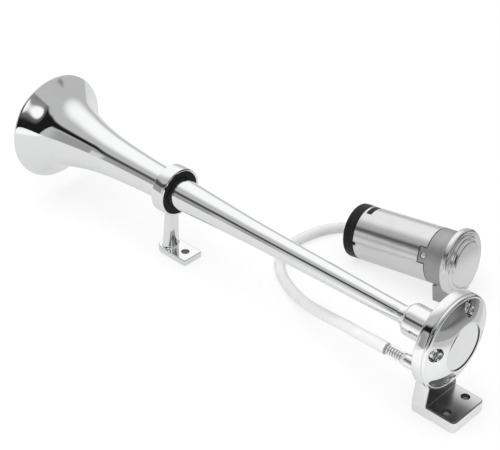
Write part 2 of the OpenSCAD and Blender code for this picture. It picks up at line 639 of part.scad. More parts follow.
module magnet_clips() color("gray") on_pump(magnet_y + 4) intersection() {
    ring(can_in - fit_gap, can_in - 0.8, magnet_len - 8);
    translate([-clip_half, -can_r, 0]) cube([2 * clip_half, 2 * can_r, magnet_len]);
}
module motor_shaft() color("lightgray") on_pump(stator_y + rotor_gap)
    cylinder(r = shaft_r, h = shaft_end - stator_y - rotor_gap);
module armature_core() color("slategray") on_pump(core_y) difference() {
    cylinder(r = core_r, h = core_len);
    translate([0, 0, -cut]) cylinder(r = shaft_r + 0.01, h = core_len + 2 * cut, $fn = 48);
    for (i = [0:slots - 1]) rotate([0, 0, 360 * i / slots]) {
        translate([slot_ring, 0, -cut]) cylinder(r = slot_r, h = core_len + 2 * cut, $fn = 48);
        translate([slot_ring, -1, -cut]) cube([core_r, 2, core_len + 2 * cut]);
    }
}
module windings() color("chocolate") on_pump(core_y) {
    for (i = [0:slots - 1]) rotate([0, 0, 360 * i / slots])
        translate([slot_ring, 0, -0.5]) cylinder(r = slot_r - 0.15, h = core_len + 1, $fn = 48);
    for (y = [-coil_len - 0.15, core_len + 0.15]) translate([0, 0, y])
        ring(slot_ring + slot_r, shaft_r + 1.5, coil_len);
}
module commutator() color("peru") on_pump(commutator_y) difference() {
    cylinder(r = commutator_r, h = commutator_len);
    translate([0, 0, -cut]) cylinder(r = shaft_r + 0.01, h = commutator_len + 2 * cut, $fn = 48);
    for (i = [0:slots - 1]) rotate([0, 0, 360 * (i + 0.5) / slots])
        translate([commutator_r - 1.2, -0.25, -cut]) cube([2, 0.5, commutator_len + 2 * cut]);
}
// The brushes press on the commutator from both sides, each in a brass box with its spring behind it
module each_brush() for (a = [0, 180]) on_pump(brush_y) at_angle(a) rotate([0, 90, 0]) children();
module brush_bar(w, l, h) translate([-l / 2, -w / 2, 0]) cube([l, w, h]);
module brushes() color("black") each_brush() translate([0, 0, commutator_r + run_gap])
    brush_bar(brush_w, brush_len, brush_h);
module brush_springs() color("lightgray") each_brush()
    translate([0, 0, commutator_r + 2 * run_gap + brush_h])
    ring(1.7, 1.2, spigot_in - commutator_r - 4 * run_gap - brush_h);
module brush_holders() color("goldenrod") each_brush() translate([0, 0, commutator_r + 2]) difference() {
    brush_bar(brush_w + 1.2, brush_len + 1.2, holder_end - commutator_r - 2);
    translate([0, 0, -cut]) brush_bar(brush_w + 2 * run_gap, brush_len + 2 * run_gap, 30);
}
module thrust_washers() color("lightgray")
    for (y = [bearing_y + bearing_len + 0.05, bush_y - 0.6]) on_pump(y) ring(4.2, shaft_r + run_gap, 0.5);
module rear_bush() color("darkgoldenrod") on_pump(bush_y) ring(bush_r, shaft_r + run_gap, bush_len);
// End cap: skirt, spigot in the can with two clips and a key, and the pocket of the rear bush
module end_cap() color("#202020") difference() {
    union() {
        on_pump(can_end + face_gap) rotate_extrude() polygon(concat([[0, 0], [can_r, 0]],
            arc([can_r - cap_edge, cap_len - face_gap - cap_edge], cap_edge, 0, 90, 4),
            [[0, cap_len - face_gap]]));
        on_pump(can_end - spigot_len) ring(can_in - fit_gap, spigot_in, spigot_len + 1);
        on_pump(bush_y - 0.05) cylinder(r = bush_r + 2, h = 3);
        for (a = [window_angle, window_angle + 180]) intersection() {
            on_pump(window_y + face_gap) ring(can_r - 0.1, spigot_in, window_len - 2 * face_gap);
            can_cut(a, window_w - 2 * face_gap, window_y, window_len);
        }
        intersection() {
            on_pump(can_end - key_len + face_gap) ring(can_r, spigot_in, key_len + 0.5);
            can_cut(key_angle, key_w - 2 * face_gap, can_end - key_len, key_len + 1);
        }
    }
    on_pump(can_end - cut) ring(spigot_in, bush_r + 2, cap_len - 3 + cut);
    on_pump(bush_y) cylinder(r = bush_r + fit_gap, h = bush_len + 0.1);
    on_pump(bush_y - cut) cylinder(r = 4.4, h = 5);
    for (x = [-blade_x, blade_x]) on_pump(can_end)
        translate([x - blade_w / 2 - fit_gap, -blade_z - blade_t / 2 - fit_gap, 0])
        cube([blade_w + 2 * fit_gap, blade_t + 2 * fit_gap, 20]);
}
module terminals() color("goldenrod") for (x = [-blade_x, blade_x])
    on_pump(blade_y) translate([x - blade_w / 2, -blade_z - blade_t / 2, 0]) difference() {
        cube([blade_w, blade_t, blade_len]);
        translate([blade_w / 2, -cut, blade_len - 3.5]) rotate([-90, 0, 0])
            cylinder(r = 0.9, h = 3, $fn = 24);
    }

// Air hose: its free length, swept along the points, and a cuff stretched over each barb
module hose_tube() {
    n = hose_sides;
    last = len(hose_points) - 1;
    rings = [for (i = [0:last]) each hoop(hose_points[i], along(hose_points, i), hose_r, n)];
    quads = [for (i = [0:last - 1]) for (j = [0:n - 1]) [i * n + j, i * n + (j + 1) % n]];
    polyhedron(points = rings, faces = concat(
        [[for (j = [n - 1:-1:0]) j]], [[for (j = [0:n - 1]) last * n + j]],
        [for (q = quads) [q[1], q[0] + n, q[0]]],
        [for (q = quads) [q[1] + n, q[0] + n, q[1]]]));
}
module cuff() {
    ring(cuff_r, barb_r + 0.55, barb_len - 0.2 + 0.3);
    translate([0, 0, barb_len + 0.05]) cylinder(r = cuff_r, h = cuff_cap);
}
module air_hose() color("whitesmoke") {
    hose_tube();
    on_horn(boss_end + hex_len) at_angle(inlet_angle, inlet_ring_r) cuff();
    on_pump(outlet_face + hex_len) translate([outlet_x, -outlet_z, 0]) cuff();
}

trumpet();
trumpet_seal();
head_body();
rear_cover();
cover_screws();
diaphragm();
front_gasket();
rear_gasket();
inlet_barb();
clamp_grommet();
front_clamp();
pump_body();
pump_cover();
cover_ring();
pump_plate();
pump_screws();
stator_ring();
pump_rotor();
vanes();
intake_felt();
outlet_nipple();
can_screws();
front_bearing();
motor_plate();
motor_can();
magnets();
magnet_clips();
motor_shaft();
armature_core();
windings();
commutator();
brushes();
brush_springs();
brush_holders();
thrust_washers();
rear_bush();
end_cap();
terminals();
air_hose();
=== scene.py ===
# Chrome trumpet air horn with its electric compressor and the hose that joins them.
# Metres, +Z up, +Y along the horn towards the bell, +X towards the compressor.
import bpy
import math

from mathutils import Matrix, Vector


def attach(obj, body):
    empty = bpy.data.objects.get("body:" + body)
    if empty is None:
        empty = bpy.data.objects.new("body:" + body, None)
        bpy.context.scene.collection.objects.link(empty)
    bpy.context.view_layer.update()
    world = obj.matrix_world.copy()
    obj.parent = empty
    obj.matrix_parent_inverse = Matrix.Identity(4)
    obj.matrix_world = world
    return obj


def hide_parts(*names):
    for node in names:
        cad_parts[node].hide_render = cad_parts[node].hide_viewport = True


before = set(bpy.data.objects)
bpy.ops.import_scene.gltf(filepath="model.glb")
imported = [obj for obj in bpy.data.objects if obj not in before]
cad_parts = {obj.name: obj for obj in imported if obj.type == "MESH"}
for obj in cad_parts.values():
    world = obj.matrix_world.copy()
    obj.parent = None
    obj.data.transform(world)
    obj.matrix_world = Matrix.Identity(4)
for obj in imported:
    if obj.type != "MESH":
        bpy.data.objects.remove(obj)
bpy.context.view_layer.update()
MM = 0.001

# Camera
# Looks down on the horn from behind the sound head's left side, as the photograph does,
# through a short telephoto lens and with a slight roll.
eye = Vector((-0.5949, -0.3598, 0.6142))
aim = Vector((-0.0021, 0.1973, 0.0672))
roll = math.radians(0.78)
look = (aim - eye).normalized()
level = look.cross(Vector((0, 0, 1))).normalized()
upright = level.cross(look)
right = math.cos(roll) * level + math.sin(roll) * upright
top = math.cos(roll) * upright - math.sin(roll) * level
bpy.ops.object.camera_add(location=eye)
camera = bpy.context.object
camera.name = "camera"
camera.rotation_euler = Matrix((right, top, -look)).transposed().to_euler()
camera.data.lens = 93.24
camera.data.sensor_width = 36
camera.data.clip_start = 0.01
bpy.context.scene.camera = camera


# Studio
# A pale table under a tent of white cloth, brightest over the bell's far side. On the camera's side the tent
# is open on a dark room with one round lamp, and a dark seam runs from that opening towards the bell.
class Shade:
    """A value on its way through a shader's nodes. Arithmetic on it adds Math nodes."""

    def __init__(self, tree, socket=None):
        self.tree, self.socket = tree, socket

    def node(self, kind, settings=(), inputs=(), output=0):
        made = self.tree.nodes.new(kind)
        for name, value in dict(settings).items():
            if name == "stops":
                ramp = made.color_ramp.elements
                while len(ramp) < len(value):
                    ramp.new(1)
                for element, (position, colour) in zip(ramp, value):
                    element.position, element.color = position, (*colour, 1)
            else:
                setattr(made, name, value)
        for name, value in dict(inputs).items():
            if isinstance(value, Shade):
                self.tree.links.new(value.socket, made.inputs[name])
            else:
                made.inputs[name].default_value = value
        shade = Shade(self.tree, made.outputs[output] if made.outputs else None)
        shade.made = made
        return shade

    def maths(self, operation, *values):
        return self.node("ShaderNodeMath", {"operation": operation}, enumerate(values))

    def parts(self):
        """The three coordinates of a position."""
        return [self.node("ShaderNodeSeparateXYZ", inputs={"Vector": self}, output=i) for i in range(3)]

    def distance(self, point):
        """How far a position is from a point."""
        return self.node("ShaderNodeVectorMath", {"operation": "DISTANCE"}, {0: self, 1: point}, output=1)

    def __add__(self, other):
        return self.maths("ADD", self, other)

    def __sub__(self, other):
        return self.maths("SUBTRACT", self, other)

    def __rsub__(self, other):
        return self.maths("SUBTRACT", other, self)

    def __mul__(self, other):
        return self.maths("MULTIPLY", self, other)

    __radd__, __rmul__ = __add__, __mul__

    def step(self, low, high):
        """0 below low, 1 above high, smooth between."""
        if low > high:
            return 1 - self.step(high, low)
        return self.node("ShaderNodeMapRange", {"interpolation_type": "SMOOTHSTEP"},
                         {"Value": self, "From Min": low, "From Max": high})

    def mix(self, a, b):
        """a where this value is 0, b where it is 1, for numbers."""
        return a + (b - a) * self

    def tint(self, a, b):
        """The same for colours."""
        four = [(*c, 1) if isinstance(c, tuple) else c for c in (a, b)]
        return self.node("ShaderNodeMix", {"data_type": "RGBA"},
                         {"Factor": self, 6: four[0], 7: four[1]}, output=2)


world = bpy.data.worlds.new("studio")
bpy.context.scene.world = world
world.use_nodes = True
world.node_tree.nodes.clear()
room = Shade(world.node_tree)
heading = room.node("ShaderNodeTexCoord", output="Generated")
across, ahead, height = heading.parts()
turn = room.maths("ARCTAN2", ahead, across * -1) * math.degrees(1)   # 0 to the left, 90 over the bell, -90 behind
rise = room.maths("ARCSINE", height) * math.degrees(1)               # degrees above the table


def towards(turned_by, risen_by):
    """The direction with that turn and rise."""
    flat, angle = math.cos(math.radians(risen_by)), math.radians(turned_by)
    return Vector((-flat * math.cos(angle), flat * math.sin(angle), math.sin(math.radians(risen_by))))


def along(direction):
    """The cosine between the heading and a direction."""
    return across * direction.x + ahead * direction.y + height * direction.z


WHITE, BRIGHT, PLAIN, CLOTH, LOW_WALL, LOW_STRIP, DIM, BLACK = 1.0, 1.05, 0.85, 0.52, 0.34, 0.66, 0.22, 0.012
tone = along(towards(120, 45)).step(0.70, 0.95).mix(CLOTH, BRIGHT)
# The tent's low wall on the left, with one paler strip
wall = (ahead.step(0.525, 0.50) * ahead.step(0.43, 0.445) * rise.step(22, 12)).mix(LOW_WALL, LOW_STRIP)
tone = (rise.step(34, 24) * turn.step(0, 16) * turn.step(80, 50)).mix(tone, wall)
# The dark seam above it
above_seam = rise - turn.step(12, 48).mix(38.5, 31.5) + ahead.step(0.44, 0.53) * 8
seam = above_seam.step(13, 4) * above_seam.step(-8, -3) * turn.step(-10, 8) * turn.step(78, 58)
tone = seam.mix(tone, ahead.step(0.44, 0.56).mix(BLACK, 0.08))
# The opening on the dark room, between a low and a high edge
low = turn.step(-24, 8).mix(-4, 36)
high = turn.step(-15, 20).mix(57, 46) - turn.step(-65, -90) * 20
opening = (rise - low).step(-1, 2) * (high - rise).step(-6, 3) * turn.step(22, 10) * turn.step(-152, -142)
# The lamp in it: an oval that the bell's curve shows as round, with a glow
lamp = towards(-53, 34.5)
level_of_lamp = lamp.cross(Vector((0, 0, 1))).normalized()
long_way = (level_of_lamp.cross(lamp) * 0.88 - level_of_lamp * 0.48).normalized()
short_way = long_way.cross(lamp)
SLOW_FALL, FAST_FALL, OTHER_SIDE = 24, 50, 9
from_lamp = (along(lamp).step(-0.2, 0.2).mix(OTHER_SIDE, 0) + along(long_way) * along(long_way) * SLOW_FALL
             + along(short_way) * along(short_way) * FAST_FALL)
dark = ((turn.step(-45, -80) * turn.step(-145, -110)).mix(BLACK, DIM) + turn.step(-100, -130) * 0.03
        + from_lamp.step(4.5, 1.0) * 0.14)
tone = opening.mix(tone, dark)
tone = from_lamp.step(1.7, 0.5).mix(tone, BRIGHT)
# Only glossy rays see all that; the camera sees white, and the rest a plain level
path = {name: room.node("ShaderNodeLightPath", output=name) for name in ("Is Camera Ray", "Is Glossy Ray")}
tone = path["Is Glossy Ray"].mix(PLAIN, tone)
tone = path["Is Camera Ray"].mix(tone, WHITE)
sky = room.node("ShaderNodeBackground", inputs={"Color": tone, "Strength": 1.0})
room.node("ShaderNodeOutputWorld", inputs={"Surface": sky})
bpy.context.scene.view_settings.view_transform = "Standard"

bpy.ops.mesh.primitive_plane_add(size=12, location=(0, 0.2, -0.0003))
floor = bpy.context.object
floor.name = "floor"
floor_paint = bpy.data.materials.new("floor_paint")
floor_paint.use_nodes = True
floor_paint.node_tree.nodes.clear()
paint = Shade(floor_paint.node_tree)
matt = paint.node("ShaderNodeBsdfDiffuse", inputs={"Color": (0.9, 0.9, 0.9, 1)})
on_table = paint.node("ShaderNodeTexCoord", output="Object")
side, back, _ = on_table.parts()
# What metal shows of the table: a painted pool of light round the horn, whiter at its front left, a grey border, and
# past its rear edge the dim floor
from_head = on_table.distance((-0.03, -0.27, 0))
away = paint.maths("MINIMUM", side, 0.45) * 1.2 - back
past_edge = away.step(0.51, 0.54)
table = from_head.step(0.03, 0.12).mix(0.88, 0.68)
table = (side.step(-0.03, -0.12) * back.step(0.06, -0.08)).mix(table, WHITE)
table = away.step(0.36, 0.43).mix(table, 0.40)
table = past_edge.mix(table, side.step(-0.4, -0.05).mix(0.015, 0.38) * side.step(0.45, 0.1).mix(0.4, 1.0))
camera_ray = paint.node("ShaderNodeLightPath", output="Is Camera Ray")
glossy_ray = paint.node("ShaderNodeLightPath", output="Is Glossy Ray")
lit = paint.node("ShaderNodeEmission", inputs={"Color": camera_ray.mix(table, WHITE), "Strength": 1.0})
seen = camera_ray * 0.75 + glossy_ray * past_edge.mix(0.75, 1.0)
both = paint.node("ShaderNodeMixShader", inputs={0: seen, 1: matt, 2: lit})
paint.node("ShaderNodeOutputMaterial", inputs={"Surface": both})
floor.data.materials.append(floor_paint)

for name, stand, width, power in (
    ("softbox_over", (-0.2, 0.3, 1.3), 1.4, 9.0),
    ("softbox_left", (-1.2, 0.1, 0.7), 0.8, 3.0),
):
    bpy.ops.object.light_add(type="AREA", location=stand)
    light = bpy.context.object
    light.name = name
    light.data.size = width
    light.data.energy = power
    light.rotation_euler = (Vector((0.0, 0.2, 0.05)) - Vector(stand)).to_track_quat("-Z", "Y").to_euler()
    light.visible_glossy = False


# Air hose
# Translucent milky PVC tube, 9 mm outside and 6 mm inside, pushed over the ribs of both barbs.
# It drops from the sound head's inlet, crosses under the trumpet, lies in one loop and climbs to the pump.
HOSE_R, HOSE_WALL, OVER_RIBS = 4.5, 1.4, 1.035
inlet = Vector((-24.77, 30.8, 47.38))
inlet_tip = Vector((-24.8, 46.2, 47.4))


def deselect():
    if bpy.context.object and bpy.context.object.mode != "OBJECT":
        bpy.ops.object.mode_set(mode="OBJECT")
    bpy.ops.object.select_all(action="DESELECT")


def smooth_route(points, steps):
    """Catmull-Rom through the points, in steps between each two."""
    route = []
    for i in range(len(points) - 1):
        a, b, c, d = (Vector(points[k]) for k in (max(i - 1, 0), i, i + 1, min(i + 2, len(points) - 1)))
        for j in range(steps):
            t = j / steps
            route.append(0.5 * (2 * b + (c - a) * t + (2 * a - 5 * b + 4 * c - d) * t * t
                                + (3 * b - a - 3 * c + d) * t ** 3))
    return route + [Vector(points[-1])]


# The compressor's own axes: its foot's far edge on the floor, tipped back onto its cap's end and turned.
PUMP_TIP, PUMP_TURN = math.radians(-7.136), math.radians(4)
on_pump = (Matrix.Translation((0.110, 0.092, 0)) @ Matrix.Rotation(PUMP_TURN, 4, "Z")
           @ Matrix.Rotation(PUMP_TIP, 4, "X") @ Matrix.Translation((0, -0.023, 0.0323)))
on_horn = Matrix.Translation((0, 0, 0.060))
nipple_foot = on_pump @ Vector((0.0285, 0.0247, -0.006)) / MM
nipple_tip = on_pump @ Vector((0.0285, 0.0403, -0.006)) / MM
hose_lay = [
    (-24.8, 56, 47.3), (-22.8, 68, 45), (-18, 81, 40.2), (-11.5, 95, 33.6),
    (-4, 112, 25.5), (4, 130, 17.2), (11, 148, 10.6), (18, 165, 6.4), (25, 181, 4.6),
    (33, 195, 4.6), (44, 207, 4.6), (59, 215, 4.6), (76, 217, 4.6), (92, 215, 4.6),
    (107, 210, 4.6), (120, 201, 4.6), (130, 188.5, 4.6), (136, 174, 5.4), (138, 159, 9),
    (137.9, 146, 14), (137, 134, 19), (136.4, 123, 22.8)]
hose_line = [inlet * MM, inlet.lerp(inlet_tip, 0.5) * MM] + [
    p * MM for p in smooth_route([inlet_tip, *hose_lay, nipple_tip], 5)] + [
    nipple_tip.lerp(nipple_foot, 0.5) * MM, nipple_foot * MM]
hose_length = sum((b - a).length for a, b in zip(hose_line, hose_line[1:]))
deselect()
bpy.ops.curve.primitive_nurbs_path_add()
hose = bpy.context.object
hose.name = "hose"
hose.location = (0, 0, 0)
hose.data.splines.clear()
line = hose.data.splines.new("POLY")
line.points.add(len(hose_line) - 1)
for i, (point, at) in enumerate(zip(line.points, hose_line)):
    point.co = (*at, 1)
    point.radius = OVER_RIBS if min(i, len(hose_line) - 1 - i) < 2 else 1.0
hose.data.dimensions = "3D"
hose.data.bevel_depth = HOSE_R * MM
hose.data.bevel_resolution = 10
hose.data.use_fill_caps = False
bpy.ops.object.convert(target="MESH")
hose = bpy.context.object


def bake_modifier(piece, kind, **settings):
    deselect()
    bpy.context.view_layer.objects.active = piece
    piece.select_set(True)
    made = piece.modifiers.new(kind.lower(), kind)
    for name, value in settings.items():
        setattr(made, name, value)
    bpy.ops.object.modifier_apply(modifier=made.name)


bake_modifier(hose, "SOLIDIFY", thickness=HOSE_WALL * MM, offset=-1)
bpy.ops.object.shade_smooth_by_angle(angle=math.radians(40))


def finish(name, colour, roughness, metallic=0.0, **constants):
    """A Principled material: numbers are set on the sockets, and returned to be varied by the caller."""
    paint = bpy.data.materials.new(name)
    paint.use_nodes = True
    paint.node_tree.nodes.clear()
    tree = Shade(paint.node_tree)
    inputs = {"Base Color": (*colour, 1), "Roughness": roughness, "Metallic": metallic, **constants}
    shader = tree.node("ShaderNodeBsdfPrincipled", inputs=inputs)
    tree.node("ShaderNodeOutputMaterial", inputs={"Surface": shader})
    tree.shader = shader.made
    return paint, tree


def feed(tree, **values):
    """Links values into the material's shader: Base_Color=..., Roughness=..."""
    for name, value in values.items():
        tree.tree.links.new(value.socket, tree.shader.inputs[name.replace("_", " ")])


def place(tree, stretch=(1, 1, 1)):
    """Where a point is on the piece, optionally stretched."""
    at = tree.node("ShaderNodeTexCoord", output="Object")
    return tree.node("ShaderNodeMapping", inputs={"Vector": at, "Scale": stretch})


def grain(tree, size, detail=3.0, stretch=(1, 1, 1)):
    """Noise from 0 to 1 with spots of that size in millimetres."""
    return tree.node("ShaderNodeTexNoise", inputs={
        "Vector": place(tree, stretch), "Scale": 1000 / size, "Detail": detail})


def bumps(tree, height, depth):
    """Raises the surface by height times depth, in millimetres."""
    inputs = {"Height": height, "Distance": depth * MM, "Strength": 1.0}
    return tree.node("ShaderNodeBump", inputs=inputs)


clear_pvc, nodes = finish("clear_pvc", (0.80, 0.80, 0.795), 0.3, **{"IOR": 1.45, "Specular IOR Level": 0.3})
cloud = grain(nodes, 9)
on_barbs = sum(place(nodes).distance(end * MM).step(0.016, 0.0145) for end in (inlet, nipple_foot))
feed(nodes, Base_Color=cloud.tint((0.76, 0.76, 0.755), (0.84, 0.84, 0.835)),
     Roughness=grain(nodes, 3).mix(0.24, 0.36), Alpha=on_barbs.mix(cloud.mix(0.84, 0.92), 0.12))
hose.data.materials.append(clear_pvc)
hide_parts("air_hose")
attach(hose, "fixed")

# Trumpet
# One drawn brass tube, chrome plated: a slender stem, a flared bell and a lip rolled round its mouth.
# Its plug end sits in the sound head's hub; the bell is held only by the front clamp.
TUBE_WALL, LIP_R = 1.2, 1.4
THROAT_R, PLUG_R, GROOVE_R = 4.5, 7.6, 6.2
PLUG_Y, GROOVE_Y, NECK_Y = 20.2, 26.2, 53.2
stem_stations = [(6.8, 53.2), (8.015, 124.1), (9.5, 195), (11.25, 237), (13, 274)]
bell_stations = [(13, 290), (14.75, 326), (18, 362), (23.6, 390), (31.72, 413), (45.67, 428.1)]
along_horn = on_horn @ Matrix.Rotation(math.radians(-90), 4, "X")
along_pump = on_pump @ Matrix.Rotation(math.radians(-90), 4, "X")


def arc(centre, radius, first, last, steps=8):
    """Points of a rounded edge in an outline, angles in degrees."""
    turns = [math.radians(first + (last - first) * i / steps) for i in range(steps + 1)]
    return [(centre[0] + radius * math.cos(a), centre[1] + radius * math.sin(a)) for a in turns]


def put(piece, to, smooth=35):
    """Sends a piece to its place and leaves its object at the origin."""
    deselect()
    bpy.context.view_layer.objects.active = piece
    piece.select_set(True)
    piece.matrix_world = to
    bpy.ops.object.transform_apply(location=True, rotation=True, scale=True)
    bpy.ops.object.shade_smooth_by_angle(angle=math.radians(smooth))
    return piece


def turned(name, outline, to=Matrix(), steps=144, closed=True):
    """Spins an outline of (radius, distance along the axis) in millimetres, as on a lathe."""
    deselect()
    bpy.ops.curve.primitive_nurbs_path_add()
    piece = bpy.context.object
    piece.name = name
    piece.location = (0, 0, 0)
    piece.data.splines.clear()
    line = piece.data.splines.new("POLY")
    line.points.add(len(outline) - 1)
    for point, (r, y) in zip(line.points, outline):
        point.co = (r * MM, 0, y * MM, 1)
    line.use_cyclic_u = closed
    piece.data.dimensions = "3D"
    bpy.ops.object.convert(target="MESH")
    piece = bpy.context.object
    bpy.ops.object.mode_set(mode="EDIT")
    bpy.ops.mesh.select_all(action="SELECT")
    bpy.ops.mesh.spin(steps=steps, angle=2 * math.pi, center=(0, 0, 0), axis=(0, 0, 1))
    bpy.ops.mesh.select_all(action="SELECT")
    bpy.ops.mesh.remove_doubles(threshold=0.000002)
    bpy.ops.mesh.normals_make_consistent(inside=False)
    bpy.ops.object.mode_set(mode="OBJECT")
    return put(piece, to)


def fit(piece, paint, body, slot, *nodes):
    """Gives a finished piece its material, its body and the CAD nodes that it stands for."""
    piece.data.materials.clear()
    piece.data.materials.append(paint)
    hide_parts(*nodes)
    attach(piece, body)


skin = [(p.x, p.y) for stations, steps in ((stem_stations, 10), (bell_stations, 12))
        for p in smooth_route([Vector((r, y, 0)) for r, y in stations], steps)]
slopes = [(b[0] - a[0]) / (b[1] - a[1]) for a, b in zip(skin[:1] + skin[:-1], skin[1:] + skin[-1:])]
bore = [(r - TUBE_WALL * math.sqrt(1 + s * s), y) for (r, y), s in zip(skin, slopes)]
lip = arc((44.6, 429.0), LIP_R, -40, 171, 14)
trumpet = turned("trumpet_tube", [
    (THROAT_R, PLUG_Y), (PLUG_R, PLUG_Y), (PLUG_R, GROOVE_Y - 0.8), (GROOVE_R, GROOVE_Y - 0.8),
    (GROOVE_R, GROOVE_Y + 0.8), (PLUG_R, GROOVE_Y + 0.8), (PLUG_R, NECK_Y - 4), (6.8, NECK_Y - 1.5),
    *skin[:-1], *lip, *reversed(bore[:-1])], along_horn, steps=192)
CHROME, CHROME_DULL, CHROME_CLEAR = (0.90, 0.905, 0.91), (0.87, 0.875, 0.885), (0.92, 0.922, 0.925)
polished_chrome, nodes = finish("polished_chrome", CHROME, 0.025, 1.0)
feed(nodes, Roughness=grain(nodes, 7, 4).step(0.58, 0.80).mix(0.025, 0.06),
     Base_Color=grain(nodes, 30).tint(CHROME_DULL, CHROME_CLEAR),
     Normal=bumps(nodes, grain(nodes, 14, 1.0), 0.01))
fit(trumpet, polished_chrome, "fixed", "chrome", "trumpet")

# Trumpet's seal
# A rubber ring in the groove of the plug, squeezed in the hub so that no air leaks past the stem.
black_rubber, nodes = finish("black_rubber", (0.012, 0.012, 0.013), 0.55, **{"Specular IOR Level": 0.15})
bloom = grain(nodes, 5, 4)
feed(nodes, Base_Color=bloom.tint((0.006, 0.006, 0.0065), (0.018, 0.018, 0.019)),
     Roughness=bloom.mix(0.45, 0.68), Normal=bumps(nodes, grain(nodes, 0.4), 0.02))


def dress(paint, *names):
    """Gives CAD nodes whose shape is right their finish."""
    for name in names:
        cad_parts[name].data.materials.clear()
        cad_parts[name].data.materials.append(paint)


dress(black_rubber, "trumpet_seal")

# Head body
# One zinc casting, polished and chrome plated: the air chamber round the throat, the hub that grips the
# trumpet, the boss of the air inlet, and a thick web standing on the two-hole foot.
HEAD_R, SEAM_Y, HEAD_FRONT, HUB_R, HUB_FRONT = 36.0, 9.0, 17.2, 12.5, 48.2
FOOT_X, FOOT_BACK, FOOT_FRONT, FOOT_T, HOLE_R, HOLE_X = 18.0, -11.6, 26.0, 9.0, 3.4, 11.0
WEB_BACK, WEB_X, BOSS_END = 13.0, 17.85, 28.2
head = turned("head_casting", [
    (4.5, 9.35), (7, 9.35), (7, 14.8), (20.4, 14.8), (20.4, 9.8), (23.3, 9.8), (23.3, SEAM_Y),
    (HEAD_R - 0.8, SEAM_Y), (HEAD_R - 0.2, SEAM_Y + 0.3), (HEAD_R, SEAM_Y + 0.9),
    *arc((HEAD_R - 1.5, HEAD_FRONT - 1.5), 1.5, 0, 90), *arc((HUB_R + 1.5, HEAD_FRONT + 1.5), 1.5, 270, 180),
    *arc((HUB_R - 4.2, HUB_FRONT - 5.6), 4.2, 0, 80), (8.8, HUB_FRONT - 1.2), (8.8, HUB_FRONT),
    (7.63, HUB_FRONT), (7.63, 20.1), (4.5, 20.1)], along_horn, steps=192)


def block(name, low, high, to=Matrix()):
    """A cube between two corners in millimetres."""
    deselect()
    low, high = Vector(low) * MM, Vector(high) * MM
    bpy.ops.mesh.primitive_cube_add(size=1, location=(low + high) / 2, scale=high - low)
    made = bpy.context.object
    made.name = name
    bpy.ops.object.transform_apply(location=True, rotation=True, scale=True)
    return put(made, to)


def rod(name, radius, low, high, to=Matrix(), sides=64):
    """A cylinder along local Z between two heights in millimetres."""
    deselect()
    bpy.ops.mesh.primitive_cylinder_add(vertices=sides, radius=radius * MM, depth=(high - low) * MM,
                                        location=(0, 0, (low + high) / 2 * MM))
    made = bpy.context.object
    made.name = name
    bpy.ops.object.transform_apply(location=True, rotation=True, scale=True)
    return put(made, to)


def pick(piece, kind, wanted):
    """Selects in edit mode the edges (by their two ends) or faces (by normal and middle) that are wanted."""
    deselect()
    bpy.context.view_layer.objects.active = piece
    piece.select_set(True)
    bpy.ops.object.mode_set(mode="EDIT")
    bpy.ops.mesh.select_mode(type=kind)
    bpy.ops.mesh.select_all(action="DESELECT")
    bpy.ops.object.mode_set(mode="OBJECT")
    mesh = piece.data
    if kind == "EDGE":
        for edge in mesh.edges:
            edge.select = wanted(*(mesh.vertices[v].co / MM for v in edge.vertices))
    else:
        for face in mesh.polygons:
            face.select = wanted(face.normal, face.center / MM)
    bpy.ops.object.mode_set(mode="EDIT")


def round_edges(piece, radius, wanted, segments=6):
    pick(piece, "EDGE", wanted)
    bpy.ops.mesh.bevel(offset=radius * MM, segments=segments, affect="EDGES")
    bpy.ops.object.mode_set(mode="OBJECT")


def carve(piece, cutter, operation="DIFFERENCE"):
    bake_modifier(piece, "BOOLEAN", object=cutter, operation=operation, solver="EXACT")
    bpy.data.objects.remove(cutter)


def join(piece, *others):
    deselect()
    for other in others:
        other.select_set(True)
    piece.select_set(True)
    bpy.context.view_layer.objects.active = piece
    bpy.ops.object.join()


def upright_edge(a, b):
    return abs(a.z - b.z) > 1 and (a - b).xy.length < 0.5


foot = block("foot", (-FOOT_X, FOOT_BACK, 0), (FOOT_X, FOOT_FRONT, FOOT_T))
round_edges(foot, 3.5, upright_edge, 8)
round_edges(foot, 1.2, lambda a, b: min(a.z, b.z) > FOOT_T - 0.01, 4)
for hole_x in (-HOLE_X, HOLE_X):
    carve(foot, rod("drill", HOLE_R, -1, 10, Matrix.Translation((hole_x * MM, 0, 0))))
web = block("web", (-WEB_X, WEB_BACK, 2), (WEB_X, FOOT_FRONT, 8.9))
for taller, widths, depths in ((15.6, 15.5 / WEB_X, 1.0), (6.5, 1.0, 0.4)):
    pick(web, "FACE", lambda normal, middle: normal.z > 0.9)
    bpy.ops.mesh.extrude_region_move(TRANSFORM_OT_translate={"value": (0, 0, taller * MM)})
    bpy.ops.transform.resize(value=(widths, depths, 1), center_override=(0, WEB_BACK * MM, 0))
    bpy.ops.object.mode_set(mode="OBJECT")
round_edges(web, 2.5, lambda a, b: abs(a.z - b.z) > 1 and min(a.y, b.y) > FOOT_FRONT - 1)
round_edges(web, 0.5, lambda a, b: abs(a.z - b.z) > 1 and max(a.y, b.y) < WEB_BACK + 0.1, 3)
inlet_at = along_horn @ Matrix.Translation((-24.77 * MM, 12.62 * MM, 0))
boss = turned("boss", [(1.6, 15), (4.7, 15), (4.7, BOSS_END - 0.4), (4.3, BOSS_END), (1.6, BOSS_END)],
              inlet_at, steps=64)
join(head, foot, web, boss)
put(head, Matrix(), 32)
# HOLE_SHADE: painted shade on the walls of the drilled holes
HOLE_SHADE, HOLE_EDGE = (0.22, 0.22, 0.22), (0.00355, 0.00345)
cast_chrome, nodes = finish("cast_chrome", CHROME, 0.04, 1.0)
x, y, z = place(nodes).parts()
on_foot = z.step(0.0098, 0.0092) * z.step(0.0080, 0.0086) * y.step(0.0135, 0.0125)
on_web = z.step(0.009, 0.0095) * z.step(0.036, 0.030) * y.step(0.0125, 0.0129) * y.step(0.0140, 0.0132)
